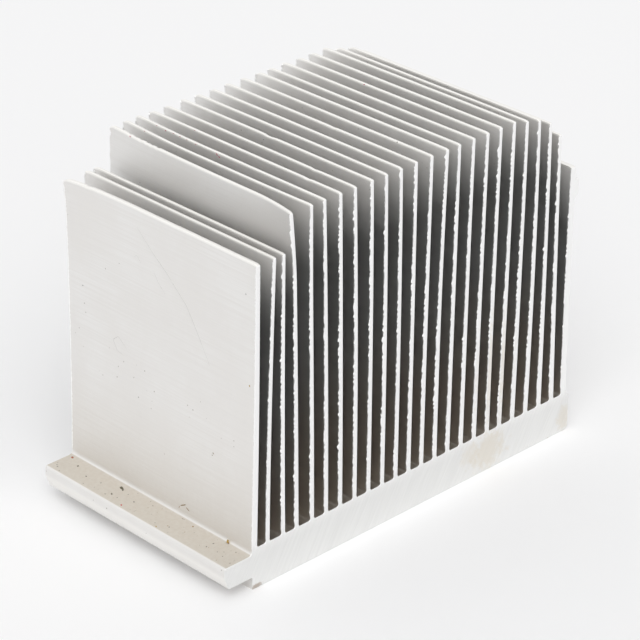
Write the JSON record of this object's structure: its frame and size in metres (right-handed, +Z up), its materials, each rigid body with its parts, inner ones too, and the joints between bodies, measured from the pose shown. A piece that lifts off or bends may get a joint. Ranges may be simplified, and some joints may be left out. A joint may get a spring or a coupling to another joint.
{
  "type": "extruded heat sink",
  "caption": "Tall straight-finned aluminium extrusion sawn to length, with a thick base and a clamping flange along one side",
  "frame": {"origin": "middle of the flat underside of the base, which everything stands on; the flange overhangs it on the -X side", "axes": "+X across the fins, away from the flange; +Y along the channels, towards the back sawn end; +Z up, along the fins"},
  "size_m": [0.0919, 0.0506, 0.072],
  "materials": {
    "aluminium": "mill-finish aluminium, lightly drawn along the channels, with bright sawn ends"
  },
  "bodies": {
    "root": {"heat_sink": "aluminium"}
  },
  "joints": []
}
